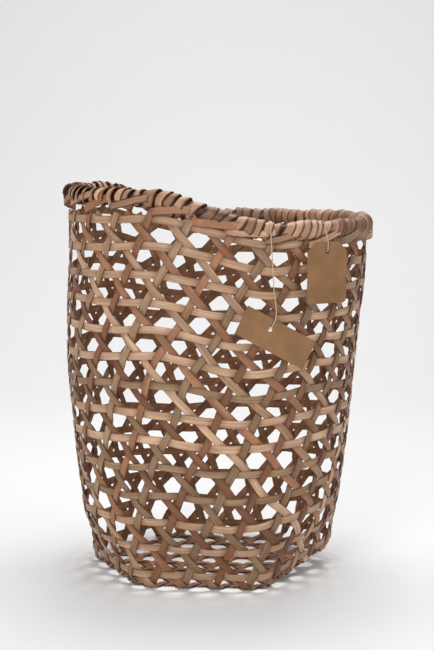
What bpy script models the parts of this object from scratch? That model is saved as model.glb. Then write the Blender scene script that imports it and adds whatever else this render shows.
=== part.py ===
"""A mushroom foraging basket of split cane in open hexagonal plaiting, with a wound rim and two tied labels.

The base is plaited from stakes that run in three directions. Each stake turns up at both of its ends and
climbs the wall, leaning one way at one end and the other way at the other. Level hoops go round the stakes,
a bundle of bent stake ends makes the rim, and one long splint is wound round it.
Metres, +Z up. The origin is on the floor, under the middle of the base.
"""

import math

import bmesh
import bpy
from mathutils import Matrix, Vector
from mathutils.geometry import interpolate_bezier

MM = 0.001

# Splints
SPLINT_THICK = 0.8 * MM
STAKE_WIDTH = 7.2 * MM
HOOP_WIDTH = 7.0 * MM
CLEAR = 0.3 * MM  # between two splints that lie on each other
PLAIT_CLEAR = 0.5 * MM  # the same where the base is plaited
FOLD_CLEAR = 2.0 * MM  # between the two stakes that cross on the fold

# Plaiting
HALF_STAKES = 4  # stakes on each side of the middle, in each of the base's three directions
HOOP_COUNT = 14
TWIST_SHARE = -0.19  # how far one hoop's row is shifted sideways, as a share of the stakes' spacing
SHOULDER_SHARE = 0.45  # how much of an outer run's dip is gone at the edges of the hoop over it
LOW_ROWS = 2  # rows above the fold that have a section at each hoop too

# Body, measured to the middle of the plaited base and wall
BASE_APOTHEM = 109.0 * MM  # from the middle of the hexagonal base to the middle of a side
CORNER_POWER = 30  # a higher power gives sharper corners to the hexagon
FOLD_SOFTNESS = 3.5 * MM
FOOT_RADIUS = 123.0 * MM
MOUTH_RADIUS = 149.5 * MM
FLARE_HEIGHT = 330.0 * MM
ROUND_HEIGHT = 65.0 * MM  # above this height the wall is round
BASE_TURN = math.radians(-6.0)
LEAN = 7.0 * MM  # how far the mouth stands towards +X of the base
LEAN_FROM = 200.0 * MM  # the heights between which the wall leans
LEAN_TO = 340.0 * MM
UPTURN_FROM = 35.0 * MM  # the +X side of the base turns up from here, and evenly after the bend
UPTURN_BEND = 30.0 * MM
UPTURN_SLOPE = 0.3
UPTURN_REACH = 220.0 * MM  # the height at which the wall no longer follows the upturn

# Rim
RIM_LOW_HEIGHT = 351.0 * MM  # to the middle of the bundle
RIM_RISE = 31.0 * MM  # how much higher the rim stands at its raised side
RISE_AT = math.radians(-165.0)
RISE_HALF_WIDTH = math.radians(48.0)
RISE_FOOT = math.radians(97.0)
BUNDLE_RADIUS = 4.5 * MM
BUNDLE_POINTS = 60
WRAP_WIDTH = 8.5 * MM
WRAP_TURNS = 60
WRAP_STEPS = 8  # sections in one turn

# Labels and their strings
STRING_RADIUS = 0.5 * MM
STRING_STEP = 2.5 * MM  # between the points along a string
LABEL_THICK = 0.8 * MM
LABEL_HOLE_RADIUS = 2.2 * MM
HOLE_POINTS = 12

FULL_TURN = 2 * math.pi
SIDES = 6
ROW = BASE_APOTHEM / HALF_STAKES  # between neighbouring parallel stakes of the base
SPACING = ROW / math.cos(math.pi / SIDES)  # between crossings of one stake with the stakes of one direction
AROUND = SIDES * HALF_STAKES  # stakes that lean one way on the wall
LAYER = SPLINT_THICK + CLEAR
BASE_LIFT = (SPLINT_THICK + PLAIT_CLEAR) / 2
FOLD_LIFT = (SPLINT_THICK + FOLD_CLEAR) / 2
BASE_HEIGHT = BASE_LIFT + SPLINT_THICK / 2  # the middle of the base's plaiting, above the floor
RIM_ROWS = HOOP_COUNT + 0.1  # the middle of the rim bundle, in rows above the fold
LEFT_SLOPE = TWIST_SHARE - 0.5  # spacings round the wall in one row, of the stake ends that lean left
RIGHT_SLOPE = TWIST_SHARE + 0.5
LOW_SECTIONS = [i / 2 for i in range(2 * LOW_ROWS)]
OUTER_ROWS = LOW_SECTIONS + list(range(LOW_ROWS, HOOP_COUNT + 1))
INNER_ROWS = LOW_SECTIONS + list(range(LOW_ROWS, HOOP_COUNT + 2, 2))
WRAP_RADIUS = (BUNDLE_RADIUS + PLAIT_CLEAR + SPLINT_THICK / 2) / math.cos(math.pi / WRAP_STEPS)
WRAP_REACH = WRAP_RADIUS + SPLINT_THICK / 2


def smooth(share):
    """A ramp from 0 to 1 with level ends."""
    share = min(1.0, max(0.0, share))
    return share * share * (3 - 2 * share)


def mix(a, b, share):
    return a + (b - a) * share


def soft(distance):
    """Zero far below 0, the distance itself far above 0, and a smooth bend between."""
    x = distance / FOLD_SOFTNESS
    return FOLD_SOFTNESS * (max(x, 0.0) + math.log1p(math.exp(-abs(x))))


def rim_height(angle):
    away = abs((angle - RISE_AT + math.pi) % FULL_TURN - math.pi)
    return RIM_LOW_HEIGHT + RIM_RISE * smooth((RISE_FOOT - away) / (RISE_FOOT - RISE_HALF_WIDTH))


def round_radius(height):
    share = min(1.0, max(0.0, height / FLARE_HEIGHT))
    return FOOT_RADIUS + (MOUTH_RADIUS - FOOT_RADIUS) * math.sin(share * math.pi / 2)


def side_normals():
    return [math.pi / SIDES * (2 * i + 1) for i in range(SIDES)]


def hexagon_radius(angle):
    """To the side of the hexagon, at this angle in its own frame."""
    return BASE_APOTHEM / max(math.cos(angle - n) for n in side_normals())


def rounded_radius(angle):
    """The same with rounded corners."""
    total = sum(max(0.0, math.cos(angle - n)) ** CORNER_POWER for n in side_normals())
    return BASE_APOTHEM / total ** (1 / CORNER_POWER)


def upturn(x):
    """How far the base is turned up at this distance towards +X."""
    past = x - UPTURN_FROM
    if past < UPTURN_BEND:
        return UPTURN_SLOPE * (max(0.0, past) ** 2 / 2 / UPTURN_BEND)
    return UPTURN_SLOPE * (past - UPTURN_BEND / 2)


def turned(radius, angle, height):
    """A point of the body from its place round the upright middle of the base."""
    angle += BASE_TURN
    x = radius * math.cos(angle) - LEAN * (1 - smooth((height - LEAN_FROM) / (LEAN_TO - LEAN_FROM)))
    follows = max(0.0, 1 - height / UPTURN_REACH) ** 1.5
    return Vector((x, radius * math.sin(angle), height + BASE_HEIGHT + upturn(x) * follows))


def base_point(x, y):
    """A point of the base's flat plaiting plan, folded up a little near the hexagon's sides."""
    angle, radius = math.atan2(y, x), math.hypot(x, y)
    side = hexagon_radius(angle)
    share = radius / side
    rise = soft((share - 1) * BASE_APOTHEM)
    rounding = mix(1.0, rounded_radius(angle) / side, share * share)
    return turned(radius * rounding - rise, angle, rise)


def wall_point(place, row):
    """A point of the wall: place counts stake spacings round it from a corner, row counts hoops up it."""
    side, along = divmod(place, HALF_STAKES)
    across = (along - HALF_STAKES / 2) * SPACING
    fold_angle = side_normals()[int(side) % SIDES] + math.atan2(across, BASE_APOTHEM)
    even_angle = place / AROUND * FULL_TURN
    fold_angle += FULL_TURN * round((even_angle - fold_angle) / FULL_TURN)
    up = row / RIM_ROWS * rim_height(even_angle + BASE_TURN)
    height = soft(up)
    share = smooth(up / ROUND_HEIGHT)
    angle = mix(fold_angle, even_angle, share)
    radius = mix(rounded_radius(angle), round_radius(height), share) - (height - up)
    return turned(radius, angle, height)


def rung(surface, a, b, da, db, lift, width):
    """The two edge points of a splint that passes the surface's point (a, b) in the direction (da, db)."""
    eps = 1e-4
    here = surface(a, b)
    along = (surface(a + da * eps, b + db * eps) - surface(a - da * eps, b - db * eps)).normalized()
    # Any second direction on the surface gives the normal.
    other = surface(a - db * eps, b + da * eps) - surface(a + db * eps, b - da * eps)
    normal = along.cross(other).normalized()
    if normal.dot(here - Vector((0, 0, FLARE_HEIGHT / 2))) < 0:
        normal.negate()
    side = normal.cross(along) * width / 2
    middle = here + normal * lift
    return middle - side, middle + side


def material(name, colour, roughness):
    mat = bpy.data.materials.new(name)
    mat.use_nodes = True
    shader = mat.node_tree.nodes["Principled BSDF"]
    shader.inputs["Base Color"].default_value = (*colour, 1.0)
    shader.inputs["Roughness"].default_value = roughness
    return mat


def add(name, data, mat, collection):
    obj = bpy.data.objects.new(name, data)
    data.materials.append(mat)
    collection.objects.link(obj)
    return obj


def splint(name, rungs, mat, collection, ring=False):
    """A flat splint: a strip lofted through its rungs and given its thickness."""
    bm = bmesh.new()
    pairs = [[bm.verts.new(p) for p in pair] for pair in rungs]
    ends = pairs[1:] + pairs[:1] if ring else pairs[1:]
    for (a, b), (c, d) in zip(pairs, ends):
        bm.faces.new((a, b, d, c))
    mesh = bpy.data.meshes.new(name)
    bm.to_mesh(mesh)
    bm.free()
    obj = add(name, mesh, mat, collection)
    thick = obj.modifiers.new("thickness", "SOLIDIFY")
    thick.thickness = SPLINT_THICK
    thick.offset = 0.0
    thick.use_even_offset = True
    return obj


def plan_direction(way, sign):
    """The running direction of a base stake, with the middle of the base on its left."""
    angle = way * math.pi / 3
    return Vector((math.cos(angle), math.sin(angle))) * sign


def place_of(x, y):
    """Where a point on the fold is, counted round the wall in stake spacings from a corner."""
    angle = math.atan2(y, x) % FULL_TURN
    side = int(angle // (FULL_TURN / SIDES))
    across = math.tan(angle - side_normals()[side]) * BASE_APOTHEM
    return side * HALF_STAKES + HALF_STAKES / 2 + across / SPACING


def dip(place, row, slope, rise):
    """How far a straight run of that slope and rise lies inside the wall at its middle."""
    ends = wall_point(place, row) + wall_point(place + slope * rise, row + rise)
    return (wall_point(place + slope * rise / 2, row + rise / 2) - ends / 2).length


def top_row(place):
    """The row where a stake's cut end stands just clear of the rim's winding."""
    rim = rim_height(place / AROUND * FULL_TURN + BASE_TURN)
    return RIM_ROWS * (1 - (WRAP_REACH + CLEAR + STAKE_WIDTH / 2) / rim)


def outer_run_dip(start, index):
    low, high = OUTER_ROWS[index - 1], OUTER_ROWS[index]
    return dip(start + LEFT_SLOPE * low, low, LEFT_SLOPE, high - low)


def outer_lift(start, index):
    """How far the middle of a left-leaning stake end is lifted off the wall at one of its sections.

    These ends lie outside those that lean right. Each section is lifted by the deeper dip of its two runs.
    """
    if index == 0:
        return FOLD_LIFT
    runs = range(index, min(index + 2, len(OUTER_ROWS)))
    own = mix(FOLD_LIFT, LAYER / 2, min(1.0, index / len(LOW_SECTIONS)))
    return own + max(outer_run_dip(start, i) for i in runs)


def outer_height(place, row):
    """How far such an end lies off the wall where a hoop's whole width passes it."""
    start = place - LEFT_SLOPE * row
    after = next(i for i, r in enumerate(OUTER_ROWS) if r >= row)
    if OUTER_ROWS[after] == row:
        here, above = outer_lift(start, after), outer_lift(start, after + 1)
        return max(here, mix(here, above, SHOULDER_SHARE))
    if after == len(OUTER_ROWS) - 1:
        return outer_lift(start, after)
    ends = outer_lift(start, after - 1) + outer_lift(start, after)
    return ends / 2 - outer_run_dip(start, after) * (1 - SHOULDER_SHARE)


def climb(start, slope, rows):
    """Rungs of one end of a stake up the wall."""
    last = top_row(start + slope * HOOP_COUNT)
    rungs = []
    for index, row in enumerate(rows):
        if index == 0:
            continue
        row = min(row, last)
        lift = outer_lift(start, index) if slope < 0 else -LAYER / 2
        rungs.append(rung(wall_point, start + slope * row, row, slope, 1.0, lift, STAKE_WIDTH))
        if row == last:
            break
    return rungs


def stake(name, way, sign, step, mat, collection):
    """One stake: up the wall at one end, across the base over and under the others, and up again."""
    forward = plan_direction(way, sign)
    offset = (step + 0.5) * ROW
    right = Vector((forward.y, -forward.x)) * offset
    reach = (HALF_STAKES * ROW - offset / 2) / math.cos(math.pi / SIDES)
    gap = SPACING / 2
    crossings = round(2 * reach / gap)
    flat = STAKE_WIDTH / 2 * (1 / math.sin(math.pi / 3) + 1 / math.tan(math.pi / 3)) + CLEAR / 2
    across = []
    for i in range(crossings + 1):
        side = 1 if i % 2 == 0 else -1
        for shift in (-flat, flat):
            x = -reach + i * gap + shift
            at_fold = abs(x) > reach
            if at_fold:
                x = math.copysign(reach, x)
            p = right + forward * x
            lift = side * (FOLD_LIFT if at_fold else BASE_LIFT)
            across.append(rung(base_point, p.x, p.y, forward.x, forward.y, lift, STAKE_WIDTH))
    start, end = right - forward * reach, right + forward * reach
    left_end = climb(place_of(*start), LEFT_SLOPE, OUTER_ROWS)
    right_end = climb(place_of(*end), RIGHT_SLOPE, INNER_ROWS)
    left_end = [(b, a) for a, b in reversed(left_end)]
    return splint(name, left_end + across + right_end, mat, collection)


def wall_run_dip(place, step, row):
    """The same for a level run of a hoop."""
    ends = wall_point(place, row) + wall_point(place + step, row)
    return (wall_point(place + step / 2, row) - ends / 2).length


def hoop(name, level, mat, collection):
    """One closed hoop outside the stakes, with a corner at each stake that leans right."""
    row = level + 0.5
    points = AROUND if level > LOW_ROWS else 2 * AROUND
    first = 0.5 + (0.5 + TWIST_SHARE) * row
    step = AROUND / points
    # A straight run between two corners dips below the wall, so the deeper dip beside a corner lifts it.
    runs = [wall_run_dip(first + i * step, step, row) for i in range(points)]
    crossed = [outer_height(first + 0.5 + k, row) for k in range(AROUND)]
    rungs = []
    for i in range(points):
        nearest = math.floor(i * step - 0.5)
        under = max(crossed[nearest % AROUND], crossed[(nearest + 1) % AROUND])
        lift = under + LAYER + max(runs[i - 1], runs[i])
        rungs.append(rung(wall_point, first + i * step, row, 1.0, 0.0, lift, HOOP_WIDTH))
    return splint(name, rungs, mat, collection, ring=True)


def rim_point(angle):
    radius = round_radius(rim_height(angle))
    return Vector((radius * math.cos(angle), radius * math.sin(angle), rim_height(angle) + BASE_HEIGHT))


def rim_frame(angle):
    eps = 1e-3
    along = (rim_point(angle + eps) - rim_point(angle - eps)).normalized()
    out = along.cross(Vector((0, 0, 1))).normalized()
    return rim_point(angle), along, out, out.cross(along).normalized()


def tube(name, points, radius, resolution, mat, collection, ring=False):
    curve = bpy.data.curves.new(name, "CURVE")
    curve.dimensions = "3D"
    curve.bevel_depth = radius
    curve.bevel_resolution = resolution
    curve.use_fill_caps = not ring
    line = curve.splines.new("POLY")
    line.points.add(len(points) - 1)
    for target, p in zip(line.points, points):
        target.co = (*p, 1.0)
    line.use_cyclic_u = ring
    line.use_smooth = True
    return add(name, curve, mat, collection)


def rim_wrap_path():
    """Sections of the winding: the middle of the splint and the direction of the rim there."""
    spare = (WRAP_WIDTH + 2 * CLEAR) / MOUTH_RADIUS
    total = WRAP_TURNS * WRAP_STEPS
    for i in range(total + 1):
        angle = (FULL_TURN - spare) * i / total
        middle, along, out, up = rim_frame(angle)
        turn = FULL_TURN * i / WRAP_STEPS
        yield middle + (out * math.cos(turn) + up * math.sin(turn)) * WRAP_RADIUS, along


def rim_wrap(mat, collection):
    path = list(rim_wrap_path())
    gap = min((path[i + WRAP_STEPS][0] - path[i][0]).length for i in range(len(path) - WRAP_STEPS))
    print(f"least gap between turns of the rim's winding: {(gap - WRAP_WIDTH) / MM:.2f} mm")
    rungs = [(p - along * WRAP_WIDTH / 2, p + along * WRAP_WIDTH / 2) for p, along in path]
    return splint("rim_wrap", rungs, mat, collection)


# Tilted frames of the labels: where the string meets the rim, how far below it the hole is, and the card.
TAG = {
    "angle": math.radians(-50.0), "facing": math.radians(-60.0), "tilt": 0.0, "drop": 21.0 * MM,
    "stand_off": 3.0 * MM, "width": 45.0 * MM, "height": 58.0 * MM, "corner": 9.0 * MM,
    "hole_down": 9.0 * MM, "hole_across": 0.0,
}
CARD = {
    "angle": math.radians(-72.0), "facing": math.radians(-67.0), "tilt": math.radians(-28.0),
    "drop": 92.0 * MM, "stand_off": 0.0, "width": 80.0 * MM, "height": 29.0 * MM, "corner": 0.5 * MM,
    "hole_down": 10.0 * MM, "hole_across": -9.0 * MM,
}


def label_frame(spec):
    """The frame of a label: its origin is its hole, +X runs along the card, +Z up it and -Y outwards."""
    rim = rim_point(spec["angle"])
    out = Vector((math.cos(spec["angle"]), math.sin(spec["angle"]), 0))
    hole = rim + out * (WRAP_REACH + STRING_RADIUS + CLEAR + spec["stand_off"])
    hole.z -= spec["drop"]
    turn = Matrix.Rotation(spec["facing"] + math.pi / 2, 4, "Z")
    tilt = Matrix.Rotation(-spec["tilt"], 4, "Y")
    return Matrix.Translation(hole) @ turn @ tilt


def outline(spec):
    """The card's corners and edges round its hole, anticlockwise."""
    left = -spec["width"] / 2 - spec["hole_across"]
    right = left + spec["width"]
    top = spec["hole_down"]
    bottom = top - spec["height"]
    corner = spec["corner"]
    return [
        (left, bottom), (right, bottom), (right, top - corner), (right - corner, top),
        (left + corner, top), (left, top - corner),
    ]


def label(name, spec, mat, collection):
    curve = bpy.data.curves.new(name, "CURVE")
    curve.dimensions = "2D"
    curve.fill_mode = "BOTH"
    curve.extrude = LABEL_THICK / 2
    circle = [i * FULL_TURN / HOLE_POINTS for i in range(HOLE_POINTS)]
    hole = [(LABEL_HOLE_RADIUS * math.cos(a), LABEL_HOLE_RADIUS * math.sin(a)) for a in circle]
    for points in (outline(spec), hole):
        line = curve.splines.new("POLY")
        line.points.add(len(points) - 1)
        for target, (x, y) in zip(line.points, points):
            target.co = (x, y, 0, 1)
        line.use_cyclic_u = True
    obj = add(name, curve, mat, collection)
    obj.matrix_world = label_frame(spec) @ Matrix.Rotation(math.pi / 2, 4, "X")
    return obj


def smooth_path(points, step):
    """Points along a smooth curve through the given points."""
    runs = [(b - a).normalized() for a, b in zip(points, points[1:])]
    ways = [runs[0], *[(u + v).normalized() for u, v in zip(runs, runs[1:])], runs[-1]]
    path = [points[0]]
    for a, b, leaving, arriving in zip(points, points[1:], ways, ways[1:]):
        reach = (b - a).length
        count = max(1, round(reach / step))
        path += interpolate_bezier(a, a + leaving * reach / 3, b - arriving * reach / 3, b, count + 1)[1:]
    return path


def string(name, spec, mat, collection):
    """From the inner side of the rim over its top, down the outside and through the label's hole."""
    middle, along, out, up = rim_frame(spec["angle"])
    reach = WRAP_REACH + STRING_RADIUS + CLEAR
    turns = [math.pi, math.pi * 3 / 4, math.pi / 2, math.pi / 4, 0.0]
    points = [middle + (out * math.cos(t) + up * math.sin(t)) * reach / math.cos(math.pi / 8) for t in turns]
    frame = label_frame(spec)
    off = LABEL_THICK / 2 + STRING_RADIUS + CLEAR
    top = frame @ Vector((0, -off - CLEAR, spec["hole_down"] + STRING_RADIUS))
    front = frame @ Vector((0, -off, LABEL_HOLE_RADIUS / 2))
    points += [mix(points[-1], top, share) for share in (1 / 3, 2 / 3)]
    points += [top, mix(top, front, 2 / 3), front, frame @ Vector((0, 0, 0)), frame @ Vector((0, off, 0))]
    return tube(name, smooth_path(points, STRING_STEP), STRING_RADIUS, 2, mat, collection)


def main():
    for obj in list(bpy.data.objects):
        bpy.data.objects.remove(obj, do_unlink=True)
    basket = bpy.data.collections.new("mushroom_foraging_basket")
    bpy.context.scene.collection.children.link(basket)
    pale = material("pale_cane", (0.36, 0.24, 0.145), 0.6)
    ruddy = material("ruddy_cane", (0.27, 0.145, 0.08), 0.6)
    wrap = material("rim_cane", (0.29, 0.17, 0.10), 0.6)
    card = material("label_card", (0.30, 0.19, 0.11), 0.85)
    twine = material("label_string", (0.45, 0.31, 0.20), 0.9)

    for way in range(SIDES // 2):
        for half, sign in enumerate((1, -1)):
            for step in range(HALF_STAKES):
                number = half * HALF_STAKES + step + 1
                stake(f"stake_{'abc'[way]}{number}", way, sign, step, ruddy if step % 2 else pale, basket)
    for level in range(HOOP_COUNT):
        hoop(f"hoop_{level + 1:02d}", level, pale, basket)
    ring = [rim_point(i * FULL_TURN / BUNDLE_POINTS) for i in range(BUNDLE_POINTS)]
    tube("rim_bundle", ring, BUNDLE_RADIUS, 1, wrap, basket, ring=True)
    rim_wrap(wrap, basket)
    label("hanging_tag", TAG, card, basket)
    label("hanging_card", CARD, card, basket)
    string("tag_string", TAG, twine, basket)
    string("card_string", CARD, twine, basket)


main()
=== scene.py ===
import math
import random

import bmesh
import bpy
from mathutils import Matrix, Vector
from mathutils.geometry import interpolate_bezier
from mathutils.noise import noise


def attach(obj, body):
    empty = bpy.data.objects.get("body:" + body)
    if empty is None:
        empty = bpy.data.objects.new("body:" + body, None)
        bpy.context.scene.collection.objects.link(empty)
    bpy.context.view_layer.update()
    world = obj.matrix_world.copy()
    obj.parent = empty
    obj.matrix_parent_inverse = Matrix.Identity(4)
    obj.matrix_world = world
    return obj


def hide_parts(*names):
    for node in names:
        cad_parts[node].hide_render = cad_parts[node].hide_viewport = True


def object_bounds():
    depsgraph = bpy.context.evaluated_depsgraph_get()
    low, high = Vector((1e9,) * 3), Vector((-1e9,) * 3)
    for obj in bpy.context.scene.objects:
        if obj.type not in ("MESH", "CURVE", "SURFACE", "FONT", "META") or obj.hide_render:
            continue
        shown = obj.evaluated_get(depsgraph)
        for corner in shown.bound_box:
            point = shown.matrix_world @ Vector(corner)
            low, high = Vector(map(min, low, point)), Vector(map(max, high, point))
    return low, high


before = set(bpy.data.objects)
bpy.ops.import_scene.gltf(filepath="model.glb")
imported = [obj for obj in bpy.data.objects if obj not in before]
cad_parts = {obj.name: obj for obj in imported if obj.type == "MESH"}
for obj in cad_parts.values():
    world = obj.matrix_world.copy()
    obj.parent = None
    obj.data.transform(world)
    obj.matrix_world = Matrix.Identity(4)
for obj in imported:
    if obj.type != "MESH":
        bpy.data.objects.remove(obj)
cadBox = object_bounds()
random.seed(11)
mm = 0.001
fullTurn = 2 * math.pi

# Camera, at the photo's view

view = {"distance": 1.65, "height": 0.445, "aim": Vector((-0.001, 0.0, 0.2469)), "lens": 90.2}
camera = bpy.data.objects.new("camera", bpy.data.cameras.new("camera"))
bpy.context.scene.collection.objects.link(camera)
camera.location = (view["aim"].x, -view["distance"], view["height"])
camera.rotation_euler = (view["aim"] - camera.location).to_track_quat("-Z", "Y").to_euler()
camera.data.lens = view["lens"]
camera.data.sensor_width = 36.0
bpy.context.scene.camera = camera

# The plaited surface, in the same sizes as the CAD body

body = {
    "halfStakes": 4, "hoops": 14, "apothem": 109.0 * mm, "twistShare": -0.19, "cornerPower": 30,
    "foldSoftness": 3.5 * mm, "foot": 123.0 * mm, "mouth": 149.5 * mm, "flareHeight": 330.0 * mm,
    "roundHeight": 65.0 * mm, "turn": math.radians(-6.0), "baseHeight": 1.05 * mm,
    "lean": 7.0 * mm, "leanFrom": 200.0 * mm, "leanTo": 340.0 * mm,
    "upturnFrom": 35.0 * mm, "upturnBend": 30.0 * mm, "upturnSlope": 0.3, "upturnReach": 220.0 * mm,
    "rimLow": 351.0 * mm, "rimRise": 31.0 * mm, "riseAt": math.radians(-165.0),
    "riseHalfWidth": math.radians(48.0), "riseFoot": math.radians(97.0),
}
# How the hand-set plaiting wanders, in stake spacings sideways and in rows upwards.
wander = {
    "sideways": 0.17, "rows": 0.15, "levelling": 0.28, "levelFrom": 6.0, "crowding": 0.16,
    "crowdOver": 12.5, "calmFrom": 11.5, "calm": 0.6, "ease": 2.0, "coarseness": 2.1, "climb": 0.21,
    "otherSpot": Vector((9, 0, 0)),
}
probe = {"wall": 1e-3, "base": 1e-4}
sides = 6
row = body["apothem"] / body["halfStakes"]
spacing = row / math.cos(math.pi / sides)
around = sides * body["halfStakes"]
rimRows = body["hoops"] + 0.1
leftSlope = body["twistShare"] - 0.5
rightSlope = body["twistShare"] + 0.5
sideNormals = [math.pi / sides * (2 * i + 1) for i in range(sides)]


def smooth(share):
    share = min(1.0, max(0.0, share))
    return share * share * (3 - 2 * share)


def mix(a, b, share):
    return a + (b - a) * share


def soft(distance):
    x = distance / body["foldSoftness"]
    return body["foldSoftness"] * (max(x, 0.0) + math.log1p(math.exp(-abs(x))))


def rimHeight(angle):
    away = abs((angle - body["riseAt"] + math.pi) % fullTurn - math.pi)
    foot, halfWidth = body["riseFoot"], body["riseHalfWidth"]
    return body["rimLow"] + body["rimRise"] * smooth((foot - away) / (foot - halfWidth))


def roundRadius(height):
    share = min(1.0, max(0.0, height / body["flareHeight"]))
    return mix(body["foot"], body["mouth"], math.sin(share * math.pi / 2))


def roundedRadius(angle):
    power = body["cornerPower"]
    total = sum(max(0.0, math.cos(angle - n)) ** power for n in sideNormals)
    return body["apothem"] / total ** (1 / power)


def upturn(x):
    # How far the base is turned up at this distance towards +X.
    past, bend = x - body["upturnFrom"], body["upturnBend"]
    if past < bend:
        return body["upturnSlope"] * (max(0.0, past) ** 2 / 2 / bend)
    return body["upturnSlope"] * (past - bend / 2)


def turned(radius, angle, height):
    angle += body["turn"]
    leaning = smooth((height - body["leanFrom"]) / (body["leanTo"] - body["leanFrom"]))
    x = radius * math.cos(angle) - body["lean"] * (1 - leaning)
    follows = max(0.0, 1 - height / body["upturnReach"]) ** 1.5
    return Vector((x, radius * math.sin(angle), height + body["baseHeight"] + upturn(x) * follows))


def basePoint(x, y):
    # A point of the base's flat plan, folded up a little near the hexagon's sides.
    angle, radius = math.atan2(y, x), math.hypot(x, y)
    side = body["apothem"] / max(math.cos(angle - n) for n in sideNormals)
    share = radius / side
    rise = soft((share - 1) * body["apothem"])
    rounding = mix(1.0, roundedRadius(angle) / side, share * share)
    return turned(radius * rounding - rise, angle, rise)


def wallPoint(at, rowsUp):
    # A point of the wall: at counts stake spacings round it from a corner, rowsUp counts hoops.
    side, along = divmod(at, body["halfStakes"])
    across = (along - body["halfStakes"] / 2) * spacing
    foldAngle = sideNormals[int(side) % sides] + math.atan2(across, body["apothem"])
    evenAngle = at / around * fullTurn
    foldAngle += fullTurn * round((evenAngle - foldAngle) / fullTurn)
    up = rowsUp / rimRows * rimHeight(evenAngle + body["turn"])
    height = soft(up)
    share = smooth(up / body["roundHeight"])
    angle = mix(foldAngle, evenAngle, share)
    radius = mix(roundedRadius(angle), roundRadius(height), share) - (height - up)
    return turned(radius, angle, height)


def handWoven(at, rowsUp):
    # The same point, moved as in plaiting that was set out by eye: the rows climb less than the rim does.
    angle = at / around * fullTurn
    spot = Vector((math.cos(angle), math.sin(angle), rowsUp * wander["climb"])) * wander["coarseness"]
    calm = wander["calm"] * smooth((rowsUp - wander["calmFrom"]) / wander["ease"])
    share = smooth(rowsUp / wander["ease"]) * (1 - calm)
    levelling = wander["levelling"] * math.cos(angle + body["turn"]) * smooth(rowsUp / wander["levelFrom"])
    crowding = wander["crowding"] * math.sin(math.pi * rowsUp / wander["crowdOver"])
    rows = rowsUp + wander["rows"] * share * noise(spot + wander["otherSpot"]) + levelling + crowding
    return wallPoint(at + wander["sideways"] * share * noise(spot), rows)


def surfaceFrame(surface, a, b, da, db):
    # Point, running direction and outward normal where a path runs over the surface towards (da, db).
    eps = probe["base"] if surface is basePoint else probe["wall"]
    here = surface(a, b)
    along = (surface(a + da * eps, b + db * eps) - surface(a - da * eps, b - db * eps)).normalized()
    other = surface(a - db * eps, b + da * eps) - surface(a + db * eps, b - da * eps)
    normal = along.cross(other).normalized()
    if normal.dot(here - Vector((0, 0, body["flareHeight"] / 2))) < 0:
        normal.negate()
    return here, along, normal


def rimPoint(angle):
    height = rimHeight(angle)
    radius = roundRadius(height)
    return Vector((radius * math.cos(angle), radius * math.sin(angle), height + body["baseHeight"]))


def rimFrame(angle):
    eps = probe["wall"]
    along = (rimPoint(angle + eps) - rimPoint(angle - eps)).normalized()
    out = along.cross(Vector((0, 0, 1))).normalized()
    return rimPoint(angle), along, out, out.cross(along).normalized()


# Materials

def newMaterial(name, roughness, specular=0.5):
    mat = bpy.data.materials.new(name)
    mat.use_nodes = True
    shader = mat.node_tree.nodes["Principled BSDF"]
    shader.inputs["Roughness"].default_value = roughness
    shader.inputs["Specular IOR Level"].default_value = specular
    return mat, mat.node_tree, shader


def node(tree, kind, values=None, **settings):
    # A new node with its settings, and values for its inputs by name or number.
    made = tree.nodes.new(kind)
    for name, setting in settings.items():
        setattr(made, name, setting)
    for entry, value in (values or {}).items():
        made.inputs[entry].default_value = value
    return made


def link(tree, source, output, target, entry):
    tree.links.new(source.outputs[output], target.inputs[entry])


def twoColours(tree, low, lowAt, high, highAt):
    ramp = node(tree, "ShaderNodeValToRGB")
    for element, colour, position in zip(ramp.color_ramp.elements, (low, high), (lowAt, highAt)):
        element.color = (*colour, 1)
        element.position = position
    return ramp


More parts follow.
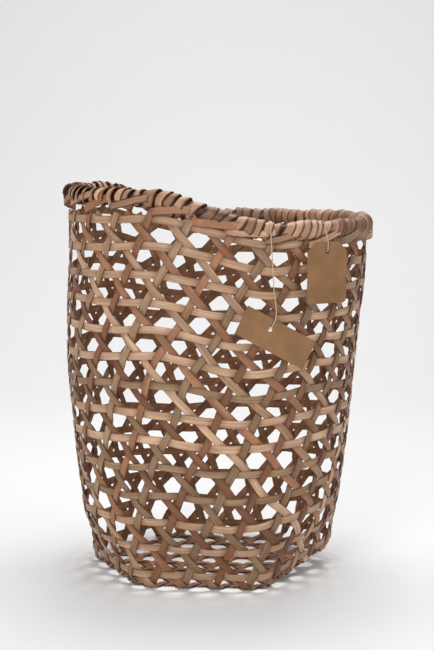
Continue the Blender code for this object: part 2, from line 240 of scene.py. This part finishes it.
def caneGroup():
    # Grain of split cane from its UV map: fine fibres along it, stains, dark nodes, and a mask for painted
    # shade along its long edges.
    group = bpy.data.node_groups.new("cane_grain", "ShaderNodeTree")
    for name in ("Tone", "Edge Width"):
        group.interface.new_socket(name, in_out="INPUT", socket_type="NodeSocketFloat")
    for name in ("Shade", "Height", "Stain", "Edge"):
        group.interface.new_socket(name, in_out="OUTPUT", socket_type="NodeSocketFloat")
    entry, result = node(group, "NodeGroupInput"), node(group, "NodeGroupOutput")
    uv = node(group, "ShaderNodeUVMap", uv_map="splint")
    # Every splint's tone moves the pattern, so no two look alike.
    scaled = node(group, "ShaderNodeMath", {1: 37.0}, operation="MULTIPLY")
    spread = node(group, "ShaderNodeCombineXYZ")
    moved = node(group, "ShaderNodeVectorMath", {1: (1, 1, 1)}, operation="MULTIPLY_ADD")
    link(group, entry, "Tone", scaled, 0)
    link(group, scaled, 0, spread, "X")
    link(group, uv, "UV", moved, 0)
    link(group, spread, 0, moved, 2)

    def stretched(along, across, scale, detail):
        mapping = node(group, "ShaderNodeMapping", {"Scale": (along, across, 1)})
        texture = node(group, "ShaderNodeTexNoise", {"Scale": scale, "Detail": detail})
        link(group, moved, 0, mapping, "Vector")
        link(group, mapping, 0, texture, "Vector")
        return texture

    def spreadOut(source, output, low, high, *results):
        # Stretches what lies between low and high from 0 to 1, for the named results.
        wide = node(group, "ShaderNodeMapRange", {"From Min": low, "From Max": high})
        link(group, source, output, wide, "Value")
        for name in results:
            link(group, wide, 0, result, name)

    fibres = stretched(14.0, 13.0, 3.2, 3.0)
    veins = stretched(5.0, 3.4, 2.2, 2.0)
    stains = stretched(16.0, 0.7, 1.1, 3.0)
    both = node(group, "ShaderNodeMix", {0: 0.5}, data_type="FLOAT")
    link(group, fibres, "Fac", both, 2)
    link(group, veins, "Fac", both, 3)
    spreadOut(both, 0, 0.33, 0.67, "Shade", "Height")
    spreadOut(stains, "Fac", 0.38, 0.72, "Stain")
    # How near the long edges are, from the UV across the strip, where painted shade goes.
    split = node(group, "ShaderNodeSeparateXYZ")
    away = node(group, "ShaderNodeMath", operation="ABSOLUTE")
    ragged = node(group, "ShaderNodeMath", {1: 0.12}, operation="MULTIPLY_ADD")
    wider = node(group, "ShaderNodeMath", operation="ADD")
    link(group, uv, "UV", split, 0)
    link(group, split, "Y", away, 0)
    link(group, stains, "Fac", ragged, 0)
    link(group, away, 0, ragged, 2)
    link(group, ragged, 0, wider, 0)
    link(group, entry, "Edge Width", wider, 1)
    spreadOut(wider, 0, 0.45, 0.56, "Edge")
    return group


caneGrain = caneGroup()
# Stains, grain and gloss of the cane, and the colour of the painted shade under crossings and in the rim
# core's grooves.
wearAndShade = {
    "stained": 0.65, "shadeColour": (0.52, 0.42, 0.35), "grainHeight": 0.12 * mm, "bump": 0.5, "specular": 0.35,
}
# Most canes get a narrow band of painted shade along their long edges.
plainEdge = {"edgeWidth": 0.0, "edgeShade": (0.50, 0.40, 0.33)}
looks = {
    "pale_cane": {
        "dark": (0.165, 0.075, 0.032), "light": (0.78, 0.52, 0.345), "stain": (0.22, 0.113, 0.054),
        "roughness": 0.55, "fibre": 0.6, **plainEdge,
    },
    "grey_cane": {
        "dark": (0.135, 0.071, 0.034), "light": (0.46, 0.30, 0.178), "stain": (0.15, 0.078, 0.038),
        "roughness": 0.6, "fibre": 0.65, **plainEdge,
    },
    "ruddy_cane": {
        "dark": (0.128, 0.045, 0.018), "light": (0.43, 0.208, 0.105), "stain": (0.105, 0.037, 0.015),
        "roughness": 0.45, "fibre": 0.4, **plainEdge,
    },
    # The rim's cane gets a wider, darker band of painted shadow along its long edges, which reads as the
    # shadow between the winding's turns.
    "rim_cane": {
        "dark": (0.13, 0.05, 0.02), "light": (0.66, 0.40, 0.255), "stain": (0.12, 0.046, 0.019),
        "roughness": 0.48, "fibre": 0.4, "edgeWidth": 0.09, "edgeShade": (0.26, 0.17, 0.11),
    },
    "inner_cane": {
        "dark": (0.165, 0.066, 0.026), "light": (0.45, 0.235, 0.122), "stain": (0.13, 0.05, 0.02),
        "roughness": 0.7, "fibre": 0.6, **plainEdge,
    },
}


def caneMaterial(name):
    # Split cane from dark to light along its grain, stained in places, with painted shade making it duller
    # and darker at its edges.
    look = looks[name]
    mat, tree, shader = newMaterial(name, look["roughness"], wearAndShade["specular"])
    tone = node(tree, "ShaderNodeAttribute", attribute_name="tone")
    grain = node(tree, "ShaderNodeGroup", node_tree=caneGrain)
    grain.inputs["Edge Width"].default_value = look["edgeWidth"]
    link(tree, tone, "Fac", grain, "Tone")
    # The tone and the fibres together pick the colour.
    part = node(tree, "ShaderNodeMath", {1: 1 - look["fibre"]}, operation="MULTIPLY")
    pick = node(tree, "ShaderNodeMath", {1: look["fibre"]}, operation="MULTIPLY_ADD")
    ramp = twoColours(tree, look["dark"], 0.1, look["light"], 0.95)
    link(tree, tone, "Fac", part, 0)
    link(tree, grain, "Shade", pick, 0)
    link(tree, part, 0, pick, 2)
    link(tree, pick, 0, ramp, 0)
    stained = node(tree, "ShaderNodeMix", {7: (*look["stain"], 1)}, data_type="RGBA")
    amount = node(tree, "ShaderNodeMath", {1: wearAndShade["stained"]}, operation="MULTIPLY")
    link(tree, grain, "Stain", amount, 0)
    link(tree, amount, 0, stained, 0)
    link(tree, ramp, 0, stained, 6)
    # Painted shade darkens the crossings where a splint runs under another, the grooves of the rim's core,
    # and the long edges.
    paintedShade = node(tree, "ShaderNodeAttribute", attribute_name="paintedShade")
    last = stained
    for source, output, shade in ((paintedShade, "Fac", wearAndShade["shadeColour"]), (grain, "Edge", look["edgeShade"])):
        dirty = node(tree, "ShaderNodeMix", {7: (*shade, 1)}, data_type="RGBA", blend_type="MULTIPLY")
        link(tree, source, output, dirty, 0)
        link(tree, last, 2, dirty, 6)
        last = dirty
    link(tree, last, 2, shader, "Base Color")
    bump = node(tree, "ShaderNodeBump", {"Strength": wearAndShade["bump"], "Distance": wearAndShade["grainHeight"]})
    link(tree, grain, "Height", bump, "Height")
    link(tree, bump, 0, shader, "Normal")
    return mat


paleCane, greyCane, ruddyCane, rimCane, innerCane = [caneMaterial(name) for name in looks]
print("materials made")

# Splints

# The last entry is how strongly a splint is painted with shade where it dips under another.
splint = {
    "thick": 0.8 * mm, "bevel": 0.18 * mm, "crown": 0.16 * mm, "sharp": math.radians(50), "across": 4,
    "lift": 0.72 * mm, "flatCrossings": 2.2, "taper": 0.05, "unevenWidth": 0.07, "sway": 0.5 * mm,
    "shadeUnder": 0.55,
}
stake = {
    "width": 7.4 * mm, "widthChange": (0.94, 1.08), "rows": 13.75, "rowSections": 11, "baseSection": 3 * mm,
}
hoop = {
    "width": 7.2 * mm, "widthChange": (0.95, 1.1), "tone": (0.3, 1.0), "start": (0.1, 0.4), "sections": 14,
    "overlap": 1.6, "overlapLift": 1.1 * mm, "overlapEase": 0.25,
}


def meshObject(name, bm, *mats, smoothed=True):
    mesh = bpy.data.meshes.new(name)
    bm.to_mesh(mesh)
    bm.free()
    if smoothed:
        mesh.shade_smooth()
    for mat in mats:
        mesh.materials.append(mat)
    obj = bpy.data.objects.new(name, mesh)
    bpy.context.scene.collection.objects.link(obj)
    return obj


def splintLayers(bm):
    # What the cane's material reads: the place along and across the splint, its painted shade and its tone.
    attributes = bm.verts.layers.float
    return bm.loops.layers.uv.new("splint"), attributes.new("paintedShade"), attributes.new("tone")


def place(obj, slotName, *nodes):
    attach(obj, "root")
    if nodes:
        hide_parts(*nodes)
    return obj


def strip(name, path, width, mat, tone, sizes=splint):
    # A split cane along a path of (middle, running direction, outward normal, width share, painted shade).
    # Its tone is one value, or a list with one for every section.
    steps = len(path) - 1
    bm = bmesh.new()
    bmesh.ops.create_grid(bm, x_segments=steps, y_segments=splint["across"], size=0.5)
    uvLayer, paintedShadeLayer, toneLayer = splintLayers(bm)
    lengths = [0.0]
    for (a, *_), (b, *_) in zip(path, path[1:]):
        lengths.append(lengths[-1] + (b - a).length)
    for face in bm.faces:
        for loop in face.loops:
            at = round((loop.vert.co.x + 0.5) * steps)
            loop[uvLayer].uv = (lengths[at], loop.vert.co.y)
    for vert in bm.verts:
        at = round((vert.co.x + 0.5) * steps)
        middle, along, normal, share, paintedShade = path[at]
        side = normal.cross(along).normalized()
        v = vert.co.y
        vert[paintedShadeLayer] = paintedShade
        vert[toneLayer] = tone[at] if isinstance(tone, list) else tone
        vert.co = middle + side * (v * width * share) + normal * (sizes["crown"] * (1 - 4 * v * v))
    obj = meshObject(name, bm, mat, innerCane)
    solid = obj.modifiers.new("thickness", "SOLIDIFY")
    solid.thickness = sizes["thick"]
    solid.offset = 0.0
    solid.material_offset = 1
    edges = obj.modifiers.new("edges", "BEVEL")
    edges.width = sizes["bevel"]
    edges.segments = 1
    edges.limit_method = "ANGLE"
    edges.angle_limit = splint["sharp"]
    edges.harden_normals = True
    return obj


def weave(share):
    # From 1 to -1 and back in one turn of share, flat at both.
    flat = splint["flatCrossings"]
    return math.tanh(flat * math.cos(fullTurn * share)) / math.tanh(flat)


def shared(sections):
    # Lifts (point, direction, normal, lift) sections off the surface and gives each its width and its
    # painted shade.
    seed = Vector((random.uniform(0, 90), random.uniform(0, 90), 0))
    taper = random.uniform(-splint["taper"], splint["taper"])
    path = []
    for i, (here, along, normal, lift) in enumerate(sections):
        t = i / len(sections)
        width = 1 + taper * (2 * t - 1) + splint["unevenWidth"] * noise(seed + Vector((0, 0, t * 9)))
        sway = splint["sway"] * noise(seed + Vector((0, 5, t * 14)))
        side = normal.cross(along).normalized()
        # Painted shade: the deeper a splint dips under the one crossing it, the darker it is painted.
        paintedShade = max(0.0, -lift / splint["lift"]) * splint["shadeUnder"]
        path.append((here + normal * lift + side * sway, along, normal, width, paintedShade))
    return path


def planDirection(way, sign):
    angle = way * fullTurn / sides
    return Vector((math.cos(angle), math.sin(angle))) * sign


def placeOf(x, y):
    angle = math.atan2(y, x) % fullTurn
    side = int(angle // (fullTurn / sides))
    across = math.tan(angle - sideNormals[side]) * body["apothem"]
    return side * body["halfStakes"] + body["halfStakes"] / 2 + across / spacing


def climb(start, slope, sign):
    # Sections of a stake's end up the wall, over and under the hoops and the stakes leaning the other way.
    top = stake["rows"]
    steps = round(top * stake["rowSections"])
    sections = []
    for i in range(steps + 1):
        up = top * i / steps
        here, along, normal = surfaceFrame(handWoven, start + slope * up, up, slope, 1.0)
        sections.append((here, along, normal, sign * splint["lift"] * weave(up)))
    return sections


def stakeSections(way, sign, step):
    forward = planDirection(way, sign)
    offset = (step + 0.5) * row
    right = Vector((forward.y, -forward.x)) * offset
    reach = (body["halfStakes"] * row - offset / 2) / math.cos(math.pi / sides)
    steps = round(2 * reach / stake["baseSection"])
    across = []
    for i in range(1, steps):
        x = -reach + 2 * reach * i / steps
        p = right + forward * x
        here, along, normal = surfaceFrame(basePoint, p.x, p.y, forward.x, forward.y)
        across.append((here, along, normal, splint["lift"] * weave((x + reach) / spacing)))
    leftEnd = climb(placeOf(*(right - forward * reach)), leftSlope, 1)
    rightEnd = climb(placeOf(*(right + forward * reach)), rightSlope, -1)
    leftEnd = [(here, -along, normal, lift) for here, along, normal, lift in reversed(leftEnd)]
    return leftEnd + across + rightEnd


def stakes():
    for way in range(sides // 2):
        for half, sign in enumerate((1, -1)):
            for step in range(body["halfStakes"]):
                name = f"stake_{'abc'[way]}{half * body['halfStakes'] + step + 1}"
                ruddy = step % 2
                width = stake["width"] * random.uniform(*stake["widthChange"])
                mat = ruddyCane if ruddy else random.choice((paleCane, greyCane))
                path = shared(stakeSections(way, sign, step))
                obj = strip(f"{name}_cane", path, width, mat, random.random())
                place(obj, "ruddy_cane" if ruddy else "pale_cane", name)


def hoops():
    # Each hoop goes over the stakes that lean left and under those that lean right, and its ends overlap.
    for level in range(body["hoops"]):
        up = level + 0.5
        crossing = 0.5 + rightSlope * up
        start = around * random.uniform(*hoop["start"])
        length = around + hoop["overlap"]
        steps = round(length * hoop["sections"])
        sections = []
        for i in range(steps + 1):
            at = start + length * i / steps
            here, along, normal = surfaceFrame(handWoven, at, up, 1.0, 0.0)
            over = smooth((at - start - around) / hoop["overlapEase"]) * hoop["overlapLift"]
            sections.append((here, along, normal, -splint["lift"] * weave(at - crossing) + over))
        name = f"hoop_{level + 1:02d}"
        width = hoop["width"] * random.uniform(*hoop["widthChange"])
        mat = random.choice((paleCane, paleCane, greyCane))
        obj = strip(f"{name}_cane", shared(sections), width, mat, random.uniform(*hoop["tone"]))
        place(obj, "pale_cane", name)


stakes()
hoops()
print("stakes and hoops made")

# Rim

rim = {
    "halfHeight": 6.0 * mm, "halfWidth": 4.7 * mm, "drop": 0.6 * mm, "uneven": 1.3 * mm, "bumps": 3.2,
    "coreSections": 300, "coreAround": 20, "coreInside": 0.9 * mm, "coreDeepest": 1.7, "coreGrooves": 3.5,
    "grooveSway": 0.6, "grooveWaves": 5, "grooveShade": 0.6, "coreFibres": 5, "coreTone": 0.4,
}
# Pairs are ranges for a random draw: lifts in millimetres, pitches, gaps and leans in widths of the splint.
wound = {
    "width": 9.8 * mm, "thick": 0.7 * mm, "crown": 0.55 * mm, "bevel": 0.15 * mm, "over": 0.55 * mm,
    "sections": 22, "group": (2, 6), "pitches": (0.65, 0.9, 1.1), "pitchChange": (0.9, 1.1),
    "gap": (1.3, 2.0), "gapLift": (-0.8, -0.2), "lifts": (-0.3, 1.3), "liftChange": (-0.35, 0.35),
    "lean": (-0.5, 0.6), "tilt": (0.14, 0.3), "tones": (0.05, 1.0), "toneChange": (-0.45, 0.35),
    "insideShare": 0.11, "ripple": 0.2 * mm, "unevenWidth": 0.22,
}
# Lengths along the rim are in stake spacings, heights in rows, and inside and outside in millimetres.
bent = {
    "length": 1.3, "lengthChange": (0.75, 1.3), "startRow": 13.5, "startChange": (-0.3, 0.3),
    "low": 13.6, "lowChange": (-0.16, 0.08), "high": 14.14, "highChange": (-0.06, 0.08), "sections": 30,
    "inside": -1.5, "outside": (5.0, 6.2), "rise": 0.2, "fallFrom": 0.84,
    "widthChange": (0.9, 1.12), "tone": (0.3, 1.0),
}
fibres = {
    "rim": 42, "wall": 46, "root": 0.17 * mm, "tip": 0.04 * mm, "short": 3 * mm, "long": 9 * mm,
    "off": 0.9 * mm, "turn": (-1.0, 2.2), "stand": (0.3, 0.9), "droop": (-0.5, 0.4),
}


def rimOval(angle, turn, extra):
    # A point on the oval that the winding follows, its outward direction and the rim's running direction.
    middle, along, out, up = rimFrame(angle)
    middle = middle - up * rim["drop"]
    extra += rim["uneven"] * noise(Vector((math.cos(angle), math.sin(angle), 0.4)) * rim["bumps"])
    wide, tall = rim["halfWidth"] + extra, rim["halfHeight"] + extra
    point = middle + out * (math.cos(turn) * wide) + up * (math.sin(turn) * tall)
    outward = (out * (math.cos(turn) / wide) + up * (math.sin(turn) / tall)).normalized()
    return point, outward, along


def core():
    # The bundle of bent stake ends inside the winding.
    bm = bmesh.new()
    bmesh.ops.create_grid(bm, x_segments=rim["coreSections"], y_segments=rim["coreAround"], size=0.5)
    uvLayer, paintedShadeLayer, toneLayer = splintLayers(bm)
    for face in bm.faces:
        for loop in face.loops:
            x, y = loop.vert.co.x + 0.5, loop.vert.co.y
            loop[uvLayer].uv = (x * fullTurn * body["mouth"], y * rim["coreFibres"])
    for vert in bm.verts:
        angle, turn = (vert.co.x + 0.5) * fullTurn, (vert.co.y + 0.5) * fullTurn
        sway = rim["grooveSway"] * math.sin(angle * rim["grooveWaves"])
        groove = abs(math.sin(turn * rim["coreGrooves"] + sway))
        # Painted shade: the core is darkest where its grooves sink deepest, and somewhat darker all over.
        vert[paintedShadeLayer] = 1 - rim["grooveShade"] * groove
        vert[toneLayer] = rim["coreTone"]
        vert.co = rimOval(angle, turn, -rim["coreInside"] * (rim["coreDeepest"] - groove))[0]
    bmesh.ops.remove_doubles(bm, verts=bm.verts, dist=0.01 * mm)
    bmesh.ops.recalc_face_normals(bm, faces=bm.faces)
    place(meshObject("rim_core", bm, rimCane), "rim_cane", "rim_bundle")


def windingTurns():
    # (pitch, lift, tone) of every turn: groups of turns that crowd each other, thinner where a group ends.
    turns = []
    length = fullTurn * body["mouth"]
    while sum(pitch for pitch, lift, tone in turns) < length:
        group = random.randint(*wound["group"])
        tone = random.uniform(*wound["tones"])
        for i in range(group):
            swell = math.sin(math.pi * (i + 0.5) / group)
            pitch = wound["width"] * random.choice(wound["pitches"])
            pitch *= random.uniform(*wound["pitchChange"])
            lift = mix(*wound["lifts"], swell) * mm + random.uniform(*wound["liftChange"]) * mm
            turns.append((pitch, lift, tone + random.uniform(*wound["toneChange"])))
        gap = wound["width"] * random.uniform(*wound["gap"])
        turns.append((gap, random.uniform(*wound["gapLift"]) * mm, tone))
    factor = (length - wound["width"]) / sum(pitch for pitch, lift, tone in turns)
    return [(pitch * factor, lift, tone) for pitch, lift, tone in turns]


def winding():
    # One long splint wound round the rim, each turn's edge over the one before it.
    turns = windingTurns()
    path = []
    tones = []
    travelled = 0.0
    for index, (pitch, lift, tone) in enumerate(turns):
        lean = random.uniform(*wound["lean"]) * wound["width"]
        tilt = random.uniform(*wound["tilt"])
        nextLift, nextTone = turns[(index + 1) % len(turns)][1:]
        for i in range(wound["sections"]):
            share = i / wound["sections"]
            turn = fullTurn * share
            # Most of the pitch is taken on the inner side, so the turns outside stand nearly upright.
            forward = share + wound["insideShare"] * math.sin(turn)
            angle = (travelled + pitch * forward + lean / 2 * math.sin(turn)) / body["mouth"]
            change = smooth(share * 2 - 0.5)
            rise = mix(lift, nextLift, change) + wound["ripple"] * math.sin(3 * turn + index)
            path.append((*rimOval(angle, turn, wound["over"] + rise), tilt))
            tones.append(mix(tone, nextTone, change))
        travelled += pitch
    sections = []
    for i, (point, outward, along, tilt) in enumerate(path):
        before, after = path[max(0, i - 1)][0], path[min(len(path) - 1, i + 1)][0]
        running = (after - before).normalized()
        side = outward.cross(running).normalized()
        normal = (outward + side * tilt).normalized()
        width = 1 + wound["unevenWidth"] * noise(Vector((i / len(path) * 150, 3, 0)))
        sections.append((point, running, normal, width, 0.0))
    obj = strip("rim_winding", sections, wound["width"], rimCane, tones, wound)
    place(obj, "rim_cane", "rim_wrap")


def bentEnds():
    # Stake ends bent flat along the rim: each comes out above the top hoop and goes under the winding.
    for k in range(around):
        start = k + 0.5 + rightSlope * bent["startRow"] + random.uniform(*bent["startChange"])
        length = bent["length"] * random.uniform(*bent["lengthChange"])
        low = bent["low"] + random.uniform(*bent["lowChange"])
        high = bent["high"] + random.uniform(*bent["highChange"])
        out = random.uniform(*bent["outside"])
        sections = []
        for i in range(bent["sections"] + 1):
            t = i / bent["sections"]
            at, up = start + length * t, mix(low, high, t)
            here, along, normal = surfaceFrame(wallPoint, at, up, 1.0, (high - low) / length)
            lift = mix(bent["inside"], out, smooth(t / bent["rise"])) * mm
            lift -= (out + bent["inside"]) * mm * smooth((t - bent["fallFrom"]) / (1 - bent["fallFrom"]))
            sections.append((here, along, normal, lift))
        mat = random.choice((rimCane, rimCane, ruddyCane, greyCane))
        width = stake["width"] * random.uniform(*bent["widthChange"])
        obj = strip(f"bent_end_{k + 1:02d}", shared(sections), width, mat, random.uniform(*bent["tone"]))
        place(obj, "rim_cane")


def looseFibres():
    # Hair-thin splinters that stand off the rim and the wall.
    bm = bmesh.new()
    for index in range(fibres["rim"] + fibres["wall"]):
        if index < fibres["rim"]:
            angle, turn = random.uniform(0, fullTurn), random.uniform(*fibres["turn"])
            start, outward, along = rimOval(angle, turn, fibres["off"])
        else:
            at, rowsUp = random.uniform(0, around), random.randrange(1, body["hoops"] - 1) + 0.5
            start, along, outward = surfaceFrame(handWoven, at, rowsUp, 1.0, 0.0)
        heading = outward * random.uniform(*fibres["stand"]) + along * random.choice((-1, 1))
        heading += Vector((0, 0, random.uniform(*fibres["droop"])))
        heading.normalize()
        length = random.uniform(fibres["short"], fibres["long"])
        facing = heading.to_track_quat("Z", "Y").to_matrix().to_4x4()
        bmesh.ops.create_cone(
            bm, segments=4, radius1=fibres["root"], radius2=fibres["tip"], depth=length, cap_ends=True,
            matrix=Matrix.Translation(start + heading * length / 2) @ facing,
        )
    place(meshObject("loose_fibres", bm, rimCane, smoothed=False), "rim_cane")


core()
winding()
bentEnds()
looseFibres()
print("rim made")

# Labels and their strings

tagSizes = {
    "angle": math.radians(-50.0), "facing": math.radians(-60.0), "tilt": 0.0, "drop": 21.0 * mm,
    "standOff": 3.0 * mm, "width": 45.0 * mm, "height": 58.0 * mm, "corner": 9.0 * mm,
    "lowCorner": 2.5 * mm, "holeDown": 9.0 * mm, "holeAcross": 0.0, "curl": 0.6 * mm,
}
cardSizes = {
    "angle": math.radians(-72.0), "facing": math.radians(-67.0), "tilt": math.radians(-28.0),
    "drop": 92.0 * mm, "standOff": 0.0, "width": 80.0 * mm, "height": 29.0 * mm, "corner": 0.5 * mm,
    "lowCorner": 0.7 * mm, "holeDown": 10.0 * mm, "holeAcross": -9.0 * mm, "curl": 1.0 * mm,
}
labels = {
    "thick": 0.5 * mm, "cadThick": 0.8 * mm, "hole": 2.2 * mm, "holeSides": 24, "grid": 24,
    "string": 0.5 * mm, "stringStep": 2.5 * mm, "clear": 0.3 * mm, "wrapReach": 6.25 * mm,
    "curlAcross": 4.0, "curlUp": 1.5, "curlTwist": -0.8,
}


def labelFrame(sizes):
    rimAt = rimPoint(sizes["angle"])
    out = Vector((math.cos(sizes["angle"]), math.sin(sizes["angle"]), 0))
    hole = rimAt + out * (labels["wrapReach"] + labels["string"] + labels["clear"] + sizes["standOff"])
    hole.z -= sizes["drop"]
    turn = Matrix.Rotation(sizes["facing"] + math.pi / 2, 4, "Z")
    return Matrix.Translation(hole) @ turn @ Matrix.Rotation(-sizes["tilt"], 4, "Y")


def cardMaterial():
    mat, tree, shader = newMaterial("label_card", 0.85, 0.2)
    spot = node(tree, "ShaderNodeTexCoord")
    cloudy = node(tree, "ShaderNodeTexNoise", {"Scale": 38.0, "Detail": 4.0})
    fibrous = node(tree, "ShaderNodeTexNoise", {"Scale": 900.0, "Detail": 3.0})
    both = node(tree, "ShaderNodeMix", {0: 0.3}, data_type="FLOAT")
    ramp = twoColours(tree, (0.20, 0.104, 0.048), 0.36, (0.29, 0.158, 0.078), 0.64)
    bump = node(tree, "ShaderNodeBump", {"Strength": 0.25, "Distance": 0.08 * mm})
    link(tree, spot, "Object", cloudy, "Vector")
    link(tree, spot, "Object", fibrous, "Vector")
    link(tree, cloudy, "Fac", both, 2)
    link(tree, fibrous, "Fac", both, 3)
    link(tree, both, 0, ramp, 0)
    link(tree, ramp, 0, shader, "Base Color")
    link(tree, fibrous, "Fac", bump, "Height")
    link(tree, bump, 0, shader, "Normal")
    return mat


def stringMaterial():
    mat, tree, shader = newMaterial("label_string", 0.9)
    spot = node(tree, "ShaderNodeTexCoord")
    twist = node(
        tree, "ShaderNodeTexWave", {"Scale": 420.0, "Distortion": 1.5},
        wave_type="BANDS", bands_direction="DIAGONAL",
    )
    ramp = twoColours(tree, (0.34, 0.235, 0.15), 0.0, (0.66, 0.50, 0.35), 1.0)
    bump = node(tree, "ShaderNodeBump", {"Distance": 0.1 * mm})
    link(tree, spot, "Object", twist, "Vector")
    link(tree, twist, "Fac", ramp, 0)
    link(tree, ramp, 0, shader, "Base Color")
    link(tree, twist, "Fac", bump, "Height")
    link(tree, bump, 0, shader, "Normal")
    return mat


def label(name, sizes, mat):
    # A card with its corners cut off and a punched hole, a little curled.
    left = -sizes["width"] / 2 - sizes["holeAcross"]
    right = left + sizes["width"]
    top = sizes["holeDown"]
    bottom = top - sizes["height"]
    bm = bmesh.new()
    bmesh.ops.create_grid(bm, x_segments=labels["grid"], y_segments=labels["grid"], size=0.5)
    for vert in bm.verts:
        vert.co = (mix(left, right, vert.co.x + 0.5), 0, mix(bottom, top, vert.co.y + 0.5))
    corners = ((top, 1, sizes["corner"]), (bottom, -1, sizes["lowCorner"]))
    for x, way in ((left, -1), (right, 1)):
        for z, rise, corner in corners:
            bmesh.ops.bisect_plane(
                bm, geom=bm.verts[:] + bm.edges[:] + bm.faces[:], plane_co=(x, 0, z - rise * corner),
                plane_no=(way, 0, rise), clear_outer=True,
            )
    blank = meshObject(name, bm, smoothed=False)
    solid = blank.modifiers.new("thickness", "SOLIDIFY")
    solid.thickness = labels["thick"]
    solid.offset = 0.0
    bm = bmesh.new()
    bmesh.ops.create_cone(
        bm, segments=labels["holeSides"], radius1=labels["hole"], radius2=labels["hole"],
        depth=20 * labels["thick"], cap_ends=True, matrix=Matrix.Rotation(math.pi / 2, 4, "X"),
    )
    punch = meshObject("punch", bm, smoothed=False)
    hole = blank.modifiers.new("hole", "BOOLEAN")
    hole.object = punch
    hole.operation = "DIFFERENCE"
    bpy.context.view_layer.update()
    done = bpy.data.meshes.new_from_object(blank.evaluated_get(bpy.context.evaluated_depsgraph_get()))
    bpy.data.objects.remove(blank)
    bpy.data.objects.remove(punch)
    # The curl leaves the card still where the string holds it.
    for vert in done.vertices:
        x, z = vert.co.x / sizes["width"], vert.co.z / sizes["height"]
        curl = labels["curlAcross"] * x * abs(x) + labels["curlUp"] * z * z + labels["curlTwist"] * x * z
        vert.co.y += sizes["curl"] * curl
    done.transform(labelFrame(sizes))
    done.materials.append(mat)
    obj = bpy.data.objects.new(f"{name}_paper", done)
    bpy.context.scene.collection.objects.link(obj)
    return place(obj, "label_card", name)


def smoothPath(points, step):
    runs = [(b - a).normalized() for a, b in zip(points, points[1:])]
    ways = [runs[0], *[(u + v).normalized() for u, v in zip(runs, runs[1:])], runs[-1]]
    path = [points[0]]
    for a, b, leaving, arriving in zip(points, points[1:], ways, ways[1:]):
        reach = (b - a).length
        count = max(1, round(reach / step))
        path += interpolate_bezier(a, a + leaving * reach / 3, b - arriving * reach / 3, b, count + 1)[1:]
    return path


def string(name, sizes, mat):
    middle, along, out, up = rimFrame(sizes["angle"])
    reach = labels["wrapReach"] + labels["string"] + labels["clear"]
    corner = math.pi / 4
    reach /= math.cos(corner / 2)
    turns = [corner * i for i in (4, 3, 2, 1, 0)]
    points = [middle + (out * math.cos(turn) + up * math.sin(turn)) * reach for turn in turns]
    holder = labelFrame(sizes)
    off = labels["cadThick"] / 2 + labels["string"] + labels["clear"]
    top = holder @ Vector((0, -off - labels["clear"], sizes["holeDown"] + labels["string"]))
    front = holder @ Vector((0, -off, labels["hole"] / 2))
    points += [mix(points[-1], top, share) for share in (1 / 3, 2 / 3)]
    points += [top, mix(top, front, 2 / 3), front, holder.translation, holder @ Vector((0, off, 0))]
    path = smoothPath(points, labels["stringStep"])
    curve = bpy.data.curves.new(f"{name}_thread", "CURVE")
    curve.dimensions = "3D"
    curve.bevel_depth = labels["string"]
    curve.bevel_resolution = 2
    curve.use_fill_caps = True
    line = curve.splines.new("POLY")
    line.points.add(len(path) - 1)
    for target, p in zip(line.points, path):
        target.co = (*p, 1.0)
    curve.materials.append(mat)
    obj = bpy.data.objects.new(f"{name}_thread", curve)
    bpy.context.scene.collection.objects.link(obj)
    place(obj, "label_string", name)


cardLook = cardMaterial()
stringLook = stringMaterial()
tagPaper = label("hanging_tag", tagSizes, cardLook)
cardPaper = label("hanging_card", cardSizes, cardLook)
string("tag_string", tagSizes, stringLook)
string("card_string", cardSizes, stringLook)
print("labels made")

# Floor, backdrop and light

floorLevel = cadBox[0].z
sheet = {"near": -6.0, "flat": 7.0, "bend": 0.9, "long": 10.5, "wide": 12.0, "sections": 80, "grey": 0.71}
lights = {
    "light_above": {"at": Vector((0.1, 0.5, 1.9)), "aim": Vector((0, 0, 0.1)), "size": 1.0, "power": 33},
    "light_front": {"at": Vector((-0.9, -2.2, 1.0)), "aim": Vector((0, 0, 0.2)), "size": 0.9, "power": 34},
    "light_right": {"at": Vector((1.8, -0.7, 0.8)), "aim": Vector((0, 0, 0.2)), "size": 0.8, "power": 9},
}
studio = {"colour": (1, 1, 1, 1), "strength": 0.38}


def backdrop():
    # A sheet of pale paper: level under the basket and curved up behind it.
    wall = sheet["near"] + sheet["flat"]
    bm = bmesh.new()
    bmesh.ops.create_grid(bm, x_segments=1, y_segments=sheet["sections"], size=0.5)
    for vert in bm.verts:
        x = vert.co.x * sheet["wide"]
        past = (vert.co.y + 0.5) * sheet["long"] - sheet["flat"]
        turn = min(math.pi / 2, max(0.0, past) / sheet["bend"])
        straight = max(0.0, past - sheet["bend"] * math.pi / 2)
        y = wall + min(0.0, past) + sheet["bend"] * math.sin(turn)
        vert.co = (x, y, floorLevel + sheet["bend"] * (1 - math.cos(turn)) + straight)
    mat, tree, shader = newMaterial("backdrop_paper", 0.95, 0.1)
    shader.inputs["Base Color"].default_value = (sheet["grey"], sheet["grey"], sheet["grey"], 1)
    meshObject("backdrop", bm, mat)


def areaLight(name, light):
    data = bpy.data.lights.new(name, "AREA")
    data.size = light["size"]
    data.energy = light["power"]
    obj = bpy.data.objects.new(name, data)
    bpy.context.scene.collection.objects.link(obj)
    obj.location = light["at"]
    obj.rotation_euler = (light["aim"] - light["at"]).to_track_quat("-Z", "Y").to_euler()


backdrop()
for name, light in lights.items():
    areaLight(name, light)
world = bpy.data.worlds.new("studio")
world.use_nodes = True
background = world.node_tree.nodes["Background"]
background.inputs["Color"].default_value = studio["colour"]
background.inputs["Strength"].default_value = studio["strength"]
bpy.context.scene.world = world
bpy.context.scene.view_settings.view_transform = "Standard"
print("stage and lights made")

bpy.context.view_layer.update()
